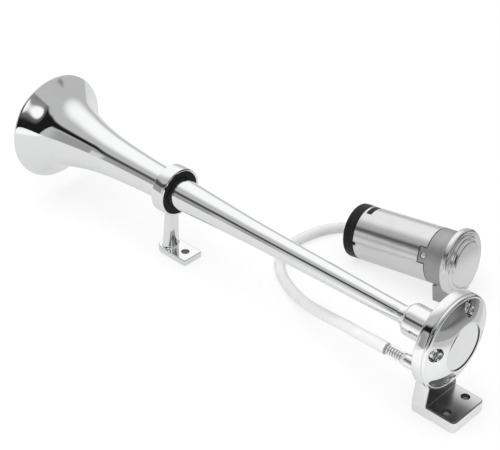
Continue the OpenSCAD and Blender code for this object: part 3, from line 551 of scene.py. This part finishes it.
either_side = nodes.node("ShaderNodeVectorMath", {"operation": "ABSOLUTE"}, {0: place(nodes, (1, 1, 0))})
# Painted shade on the walls of the foot's two holes
in_hole = either_side.distance((HOLE_X * MM, 0, 0)).step(*HOLE_EDGE)
# Painted shade darkens the inner corner of web and foot, varying from left to right; the plating there is also thin
# and grey
plating_and_shade = on_web.mix(1, x.step(-0.010, 0.012).mix(0.34, 0.14))
plating_and_shade = on_foot.mix(plating_and_shade, x.step(-0.003, 0.020).mix(0.24, 0.85)) * grain(nodes, 30).mix(0.96, 1)
feed(nodes, Roughness=on_foot.mix(grain(nodes, 7, 4).mix(0.03, 0.06), grain(nodes, 3, 4).mix(0.20, 0.30)),
     Base_Color=in_hole.tint(plating_and_shade.tint((0, 0, 0), CHROME_CLEAR), HOLE_SHADE),
     Normal=bumps(nodes, grain(nodes, 14, 1.0), 0.02))
fit(head, cast_chrome, "fixed", "chrome", "head_body")

# Diaphragm
# A thin spring-steel disc gripped at its rim between two gaskets; it lifts off the throat and gives the note.
dark_steel, nodes = finish("dark_steel", (0.30, 0.31, 0.33), 0.35, 1.0)
oil = grain(nodes, 6, 5)
feed(nodes, Base_Color=oil.tint((0.24, 0.25, 0.27), (0.38, 0.39, 0.41)), Roughness=oil.mix(0.26, 0.44),
     Normal=bumps(nodes, grain(nodes, 0.5), 0.01))
dress(dark_steel, "diaphragm")
dress(black_rubber, "front_gasket", "rear_gasket")

# Rear cover
# A chrome-plated zinc casting over the diaphragm: a shallow dome round a slightly sunken flat disc, with a
# rounded rim, held by four screws in round pockets.
SCREW_RING, SCREW_SEAT = 27.9, 7.0
screw_angles = [76, 166, 256, 346]
DISC_EDGE, DOME_WIDE, DOME_TALL, DOME_HOLLOW = (19.2, 0.08), 14.2, 6.13, 2.4
dome = [(DISC_EDGE[0] + DOME_WIDE * t, DISC_EDGE[1] + DOME_TALL * t - DOME_HOLLOW * t * (1 - t))
        for t in (i / 20 for i in range(21))]
cover = turned("cover_casting", [
    (0, 0.7), (17.7, 0.7), (17.9, 0.6), (18.05, 0.2), (18.2, 0.05), (18.4, 0), (18.8, 0.01), *dome,
    *arc((34.2, 7.71), 1.5, 250, 360, 10), (35.7, 8.2), (35.5, 8.7), (34.9, SEAM_Y), (23.3, SEAM_Y),
    (23.3, 8.3), (20.4, 8.3), (20.4, 5.3), (15.5, 2.5), (0, 2.5)], steps=192, closed=False)


def round_the_head(angle, radius):
    """A place on a ring round the horn's axis, the angle seen from behind, from +X towards +Z."""
    return along_horn @ Matrix.Rotation(math.radians(-angle), 4, "Z") @ Matrix.Translation((radius * MM, 0, 0))


put(cover, along_horn)
for angle in screw_angles:
    carve(cover, rod("pocket", 5.3, -1, SCREW_SEAT, round_the_head(angle, SCREW_RING)))
    carve(cover, rod("drill", 2.2, 6, 10, round_the_head(angle, SCREW_RING), 32))
put(cover, Matrix(), 32)


def feed_plate(tree, shaded_mask, shade_tone):
    """Chrome plate over a casting, with a painted shade colour where the mask is 1."""
    feed(tree, Roughness=grain(tree, 7, 4).mix(0.025, 0.06),
         Base_Color=shaded_mask.tint(grain(tree, 30).tint(CHROME_DULL, CHROME_CLEAR), shade_tone),
         Normal=bumps(tree, grain(tree, 14, 1.0), 0.015))


cover_chrome, nodes = finish("cover_chrome", CHROME, 0.03, 1.0)
face = place(nodes, (1, 0, 1))
from_axis, (x, _, z) = face.distance((0, 0, 0.06)), face.parts()
# Painted shade: a black line in the lower half of the disc's sunken edge
painted_groove_shade = from_axis.step(0.0172, 0.0175) * from_axis.step(0.0186, 0.0183) * (x - z).step(-0.060, -0.045)
feed_plate(nodes, painted_groove_shade, (0.03, 0.03, 0.03))   # in the lower half of the disc's sunken edge
fit(cover, cover_chrome, "fixed", "chrome", "rear_cover")

# Cover screws
# Four bright zinc-plated M4 pan-head screws with cross recesses, one in each pocket of the cover.
HEAD_TALL = 1.8


def pan_screw(name, head_r, tall, shank_r, depth):
    """Head towards -Z from the seat at zero, shank towards +Z."""
    made = turned(name, [
        (0, -tall), (0.45 * head_r, -0.98 * tall), (0.7 * head_r, -0.88 * tall), (0.88 * head_r, -0.68 * tall),
        (0.98 * head_r, -0.36 * tall), (head_r, -0.1), (0.97 * head_r, 0), (shank_r, 0),
        (shank_r, depth - 0.4), (shank_r - 0.4, depth), (0, depth)], steps=64, closed=False)
    half_long, half_wide = 0.58 * head_r, 0.11 * head_r
    for angle in (20, 110):
        carve(made, block("slot", (-half_long, -half_wide, -tall - 1), (half_long, half_wide, -0.45 * tall),
                          Matrix.Rotation(math.radians(angle), 4, "Z")))
    return made


def copies(piece, places):
    """One copy at each place, each with its own mesh, joined into one piece."""
    made = []
    for to in places:
        deselect()
        piece.select_set(True)
        bpy.context.view_layer.objects.active = piece
        bpy.ops.object.duplicate(linked=False)
        made.append(put(bpy.context.object, to))
    bpy.data.objects.remove(piece)
    join(*made)
    return made[0]


screws = copies(pan_screw("cover_screw_set", 3.5, HEAD_TALL, 2.0, 7.6), [
    round_the_head(angle, SCREW_RING) @ Matrix.Translation((0, 0, SCREW_SEAT * MM)) for angle in screw_angles])
bright_zinc, nodes = finish("bright_zinc", (0.88, 0.885, 0.89), 0.3, 1.0)
passivate = grain(nodes, 1.6, 4)
feed(nodes, Base_Color=passivate.tint((0.84, 0.845, 0.85), (0.92, 0.92, 0.925)),
     Roughness=passivate.mix(0.24, 0.36), Normal=bumps(nodes, grain(nodes, 0.3), 0.004))
fit(screws, bright_zinc, "fixed", "zinc_screw", "cover_screws")

# Inlet barb
# A chrome-plated brass hose barb screwed into the head's boss: a small hexagon and seven saw-tooth ribs.
HEX_R, HEX_T, BARB_R, RIB_R, BARB_LEN, BORE_R, RIBS = 4.4, 2.6, 2.7, 3.2, 14.4, 1.6, 7


def hose_barb(name, to):
    pitch = BARB_LEN / RIBS
    ribs = [p for i in range(RIBS) for p in (
        (RIB_R, HEX_T + i * pitch + 0.3), (RIB_R, HEX_T + i * pitch + 0.55), (BARB_R, HEX_T + (i + 1) * pitch - 0.1))]
    stem = turned(name, [(BORE_R, -7), (2.9, -7), (2.9, 0.2), (BARB_R, 0.2), (BARB_R, HEX_T + 0.1), *ribs,
                         (BARB_R, HEX_T + BARB_LEN), (BORE_R, HEX_T + BARB_LEN)], steps=64)
    nut = rod("nut", HEX_R, 0, HEX_T, sides=6)
    bake_modifier(nut, "BEVEL", width=0.25 * MM, segments=3)
    carve(nut, rod("drill", 2.6, -1, 4, sides=48))
    join(stem, nut)
    return put(stem, to, 30)


barb = hose_barb("inlet_barb_turned", inlet_at @ Matrix.Translation((0, 0, BOSS_END * MM)))
barb_chrome, nodes = finish("barb_chrome", (0.85, 0.85, 0.855), 0.12, 1.0)
along_barb = place(nodes).parts()[1]
rib = nodes.maths("FRACT", (along_barb - 0.0308) * (RIBS / BARB_LEN / MM))
# Painted shade: near-black bands in the grooves between the ribs
groove = rib.step(0.35, 0.6) * rib.step(1.0, 0.9) * along_barb.step(0.0305, 0.0312)
feed(nodes, Base_Color=groove.tint((0.86, 0.86, 0.865), (0.10, 0.10, 0.10)),
     Roughness=grain(nodes, 1, 3).mix(0.08, 0.2))
fit(barb, barb_chrome, "fixed", "chrome", "inlet_barb")

# Clamp grommet
# A thick black rubber ring that fills the front clamp and keeps the trumpet from ringing against it.
grommet = turned("grommet", [
    (13.03, 277.0), (13.4, 276.4), (17.7, 276.4), (18.2, 276.6), (18.4, 277.1), (18.4, 286.9),
    (18.2, 287.4), (17.7, 287.6), (13.4, 287.6), (13.03, 287.0)], along_horn, steps=96)
fit(grommet, black_rubber, "fixed", "black_rubber", "clamp_grommet")

# Front clamp
# A chrome-plated zinc ring on an oval leg with a round-ended one-hole foot. Loose, it turns on the grommet.
RING_IN, RING_OUT, PAD_T, PAD_HOLE_Y = 18.45, 20.35, 5.0, 271.4
ring = turned("clamp_casting", [
    (RING_IN, 276.2), (RING_IN + 0.2, 276), *arc((RING_OUT - 0.5, 276.5), 0.5, 270, 360, 4),
    *arc((RING_OUT - 0.8, 287.2), 0.8, 0, 90, 6), (RING_IN + 0.2, 288), (RING_IN, 287.8)], along_horn, steps=160)
leg_stations = [(4.6, 288.5, 9.0, 6.3), (5.2, 288.5, 8.5, 5.8), (6.0, 288.5, 8.05, 5.4), (7.5, 288.45, 7.75, 5.15),
                (18, 287.75, 7.2, 4.95), (30, 286.95, 6.6, 4.7), (40.65, 286.3, 6.08, 4.5)]
deselect()
bpy.ops.mesh.primitive_circle_add(vertices=64, radius=1 * MM, fill_type="NGON")
leg = bpy.context.object
z, y, wide, deep = leg_stations[0]
leg.scale = (wide, deep, 1)
leg.location = (0, y * MM, z * MM)
bpy.ops.object.transform_apply(location=True, rotation=True, scale=True)
bpy.ops.object.mode_set(mode="EDIT")
bpy.ops.mesh.select_all(action="SELECT")
for (z, y, wide, deep), (z2, y2, wide2, deep2) in zip(leg_stations, leg_stations[1:]):
    bpy.ops.mesh.extrude_region_move(TRANSFORM_OT_translate={"value": (0, (y2 - y) * MM, (z2 - z) * MM)})
    bpy.ops.transform.resize(value=(wide2 / wide, deep2 / deep, 1), center_override=(0, y2 * MM, z2 * MM))
bpy.ops.mesh.select_all(action="SELECT")
bpy.ops.mesh.normals_make_consistent(inside=False)
bpy.ops.object.mode_set(mode="OBJECT")
pad = block("pad", (-10, 262, 0), (10, 298.5, PAD_T))
round_edges(pad, 9.98, lambda a, b: upright_edge(a, b) and a.y > 298, 24)
round_edges(pad, 2.0, lambda a, b: upright_edge(a, b) and a.y < 263, 6)
round_edges(pad, 0.8, lambda a, b: min(a.z, b.z) > PAD_T - 0.01, 4)
carve(pad, rod("drill", HOLE_R, -1, 6, Matrix.Translation((0, PAD_HOLE_Y * MM, 0))))
join(ring, leg, pad)
put(ring, Matrix(), 32)
clamp_chrome, nodes = finish("clamp_chrome", CHROME, 0.03, 1.0)
# Painted shade on the walls of the foot's hole
in_hole = place(nodes, (1, 1, 0)).distance((0, PAD_HOLE_Y * MM, 0)).step(*HOLE_EDGE)
feed_plate(nodes, in_hole, HOLE_SHADE)
fit(ring, clamp_chrome, "clamp", "chrome", "front_clamp")

# Pump body
# The compressor's grey die casting: the flange under the cover, the round body, the foot that screws down,
# the elbow of the air outlet, and two lugs that reach into the motor's can.


def along_the_motor(tree, stretch):
    """Place measured along the compressor's own axes, for lines drawn along or round the can."""
    at = tree.node("ShaderNodeTexCoord", output="Object")
    own = tree.node("ShaderNodeMapping", {"vector_type": "TEXTURE"}, {
        "Vector": at, "Location": on_pump.to_translation(), "Rotation": on_pump.to_euler()})
    return tree.node("ShaderNodeMapping", inputs={"Vector": own, "Scale": stretch})


grey_casting, nodes = finish("grey_casting", (0.42, 0.42, 0.425), 0.42, 0.85)
skin_tone = grain(nodes, 9, 5)
# Painted shade: black on the spigot where it shows in the gap under the can's edge
from_axis = along_the_motor(nodes, (1, 0, 1)).distance((0, 0, 0))
can_gap_shade = from_axis.step(0.0220, 0.0215) * along_the_motor(nodes, (1, 1, 1)).parts()[1].step(0.0250, 0.0254)
feed(nodes, Base_Color=can_gap_shade.tint(skin_tone.tint((0.36, 0.36, 0.365), (0.47, 0.47, 0.475)), (0.01, 0.01, 0.01)),
     Roughness=grain(nodes, 2.5, 4).mix(0.36, 0.52), Normal=bumps(nodes, grain(nodes, 0.55, 2), 0.022))
dress(grey_casting, "pump_body")

# Outlet nipple
# The same barb as the sound head's, screwed into the compressor's elbow.
NIPPLE_AT = Vector((28.5, 6, 22.1))
nipple = hose_barb("outlet_barb_turned", along_pump @ Matrix.Translation(NIPPLE_AT * MM))
fit(nipple, polished_chrome, "fixed", "chrome", "outlet_nipple")

# Vane pump
# Inside the body: a steel plate, an off-centre chamber ring, a slotted bronze rotor with four carbon vanes,
# the three screws that hold them, the rubber ring under the cover and the felt of the air intake.
dress(dark_steel, "pump_plate", "stator_ring")
dress(bright_zinc, "pump_screws")
dress(black_rubber, "cover_ring")
bronze, nodes = finish("bronze", (0.62, 0.44, 0.22), 0.34, 1.0)
sinter = grain(nodes, 0.8, 3)
feed(nodes, Base_Color=sinter.tint((0.50, 0.34, 0.16), (0.70, 0.51, 0.27)), Roughness=sinter.mix(0.28, 0.48),
     Normal=bumps(nodes, sinter, 0.015))
dress(bronze, "pump_rotor", "rear_bush")
carbon, nodes = finish("carbon", (0.022, 0.022, 0.024), 0.5)
rubbed = grain(nodes, 2, 3, (1, 6, 1))
feed(nodes, Base_Color=rubbed.tint((0.014, 0.014, 0.015), (0.045, 0.045, 0.048)), Roughness=rubbed.mix(0.38, 0.6))
dress(carbon, "vanes", "brushes")
grey_felt, nodes = finish("grey_felt", (0.42, 0.38, 0.32), 0.95)
fibre = grain(nodes, 0.5, 6)
feed(nodes, Base_Color=fibre.tint((0.32, 0.29, 0.24), (0.52, 0.47, 0.40)), Normal=bumps(nodes, fibre, 0.15))
dress(grey_felt, "intake_felt")

# Pump cover
# A chrome-plated pressed dish that snaps over the flange, with two rolled steps round a flat disc.
dish = turned("pump_dish", [
    (0, 0), (17.4, 0), (17.9, 0.1), (18.3, 0.3), (18.6, 0.75), (18.9, 2), *arc((20.7, 3.2), 1.2, 200, 330, 10),
    *arc((23.4, 4.4), 1.1, 210, 330, 10), *arc((25, 5.6), 2, 225, 360, 12), (27, 8.3), (26.85, 8.7), (26.5, 8.9),
    (25.2, 8.9), (25.2, 6), (22.2, 4.9), (17.8, 2.6), (16.6, 1.4), (0, 1.4)], along_pump, steps=160, closed=False)
pressed_chrome, nodes = finish("pressed_chrome", (0.80, 0.80, 0.805), 0.2, 1.0)
feed(nodes, Roughness=grain(nodes, 9, 4).mix(0.16, 0.24),
     Base_Color=grain(nodes, 22).tint((0.78, 0.78, 0.785), (0.84, 0.84, 0.845)))
fit(dish, pressed_chrome, "fixed", "chrome", "pump_cover")

# Motor can
# A drawn steel tube, bright nickel plated, notched for the pump body's two lugs and pierced with two windows
# for the end cap's clips and a small notch for its key.
CAN_R, CAN_IN, CAN_Y, CAN_END = 22.4, 21.0, 25.6, 93.0
LUG_ANGLES, CLIP_ANGLES, KEY_ANGLE = (154, 334), (86, 266), 176
can = turned("motor_tube", [
    (CAN_IN, CAN_Y + 0.75), (CAN_R - 0.2, CAN_Y + 0.75), (CAN_R, CAN_Y + 0.95), (CAN_R, CAN_END - 0.2),
    (CAN_R - 0.2, CAN_END), (CAN_IN, CAN_END)], steps=160)
for angles, wide, first, last in ((LUG_ANGLES, 13.5, CAN_Y - 1, CAN_Y + 6.7),
                                  (CLIP_ANGLES, 14.2, CAN_END - 7.2, CAN_END - 2.2),
                                  ([KEY_ANGLE], 3.2, CAN_END - 2.6, CAN_END + 1)):
    for angle in angles:
        carve(can, block("notch", (17, -wide / 2, first), (25, wide / 2, last),
                         Matrix.Rotation(math.radians(-angle), 4, "Z")))
put(can, along_pump, 32)

nickel, nodes = finish("nickel", (0.74, 0.74, 0.745), 0.16, 1.0)
drawn = nodes.node("ShaderNodeTexNoise", inputs={
    "Vector": along_the_motor(nodes, (1, 0.03, 1)), "Scale": 2200, "Detail": 2})
handled = grain(nodes, 12, 4)
feed(nodes, Base_Color=handled.tint((0.70, 0.70, 0.705), (0.80, 0.80, 0.80)), Roughness=drawn.mix(0.12, 0.26),
     Normal=bumps(nodes, drawn, 0.0015))
fit(can, nickel, "fixed", "can_steel", "motor_can")

# Can screws
# Two small pan-head screws that pin the can to the lugs.
seat = (Matrix.Rotation(math.radians(90), 4, "Y") @ Matrix.Translation((0, 0, (CAN_R - 0.78) * MM))
        @ Matrix.Rotation(math.pi, 4, "X"))
lug_places = [along_pump @ Matrix.Translation((0, 0, (CAN_Y + 1.8) * MM))
              @ Matrix.Rotation(math.radians(-angle), 4, "Z") @ seat for angle in LUG_ANGLES]
pins = copies(pan_screw("can_screw_pair", 2.4, 1.1, 1.3, 3.2), lug_places)
fit(pins, bright_zinc, "fixed", "zinc_screw", "can_screws")

# Motor
# A small permanent-magnet motor in the can: plate, ball bearing, two ferrite magnets with their clips, a
# laminated core with copper windings, the commutator, and brushes in brass boxes with springs behind them.
dress(dark_steel, "front_bearing", "motor_plate", "magnet_clips", "motor_shaft", "brush_springs", "thrust_washers")
laminated, nodes = finish("laminated", (0.25, 0.26, 0.28), 0.4, 1.0)
sheets = nodes.node("ShaderNodeTexWave", {"bands_direction": "Y"}, {
    "Vector": along_the_motor(nodes, (1, 1, 1)), "Scale": 320, "Distortion": 0.1})
feed(nodes, Base_Color=sheets.tint((0.16, 0.17, 0.19), (0.34, 0.35, 0.37)), Normal=bumps(nodes, sheets, 0.05))
dress(laminated, "armature_core")
ferrite, nodes = finish("ferrite", (0.06, 0.06, 0.065), 0.62)
pressed = grain(nodes, 1.2, 5)
feed(nodes, Base_Color=pressed.tint((0.04, 0.04, 0.045), (0.09, 0.09, 0.095)), Normal=bumps(nodes, pressed, 0.03))
dress(ferrite, "magnets")
copper, nodes = finish("copper", (0.72, 0.33, 0.16), 0.28, 1.0)
turns = nodes.node("ShaderNodeTexWave", {"bands_direction": "X"}, {
    "Vector": along_the_motor(nodes, (1, 0.2, 1)), "Scale": 380, "Distortion": 1.5})
feed(nodes, Base_Color=turns.tint((0.55, 0.22, 0.09), (0.82, 0.42, 0.22)), Normal=bumps(nodes, turns, 0.12))
dress(copper, "windings", "commutator")

# End cap
# A black moulded cap with two clips and a key in the can, and the pocket of the rear bush inside.
black_plastic, nodes = finish("black_plastic", (0.01, 0.01, 0.011), 0.38, **{"Specular IOR Level": 0.15})
sheen = grain(nodes, 4, 4)
feed(nodes, Base_Color=sheen.tint((0.006, 0.006, 0.0065), (0.015, 0.015, 0.016)), Roughness=sheen.mix(0.30, 0.46),
     Normal=bumps(nodes, grain(nodes, 0.35, 2), 0.018))
dress(black_plastic, "end_cap")

# Terminals
# Two 6.3 mm brass blades through the cap, and the brass boxes of the brushes.
brass, nodes = finish("brass", (0.78, 0.60, 0.28), 0.22, 1.0)
tarnish = grain(nodes, 3, 5)
feed(nodes, Base_Color=tarnish.tint((0.62, 0.46, 0.20), (0.86, 0.69, 0.36)), Roughness=tarnish.mix(0.16, 0.34))
dress(brass, "terminals", "brush_holders")
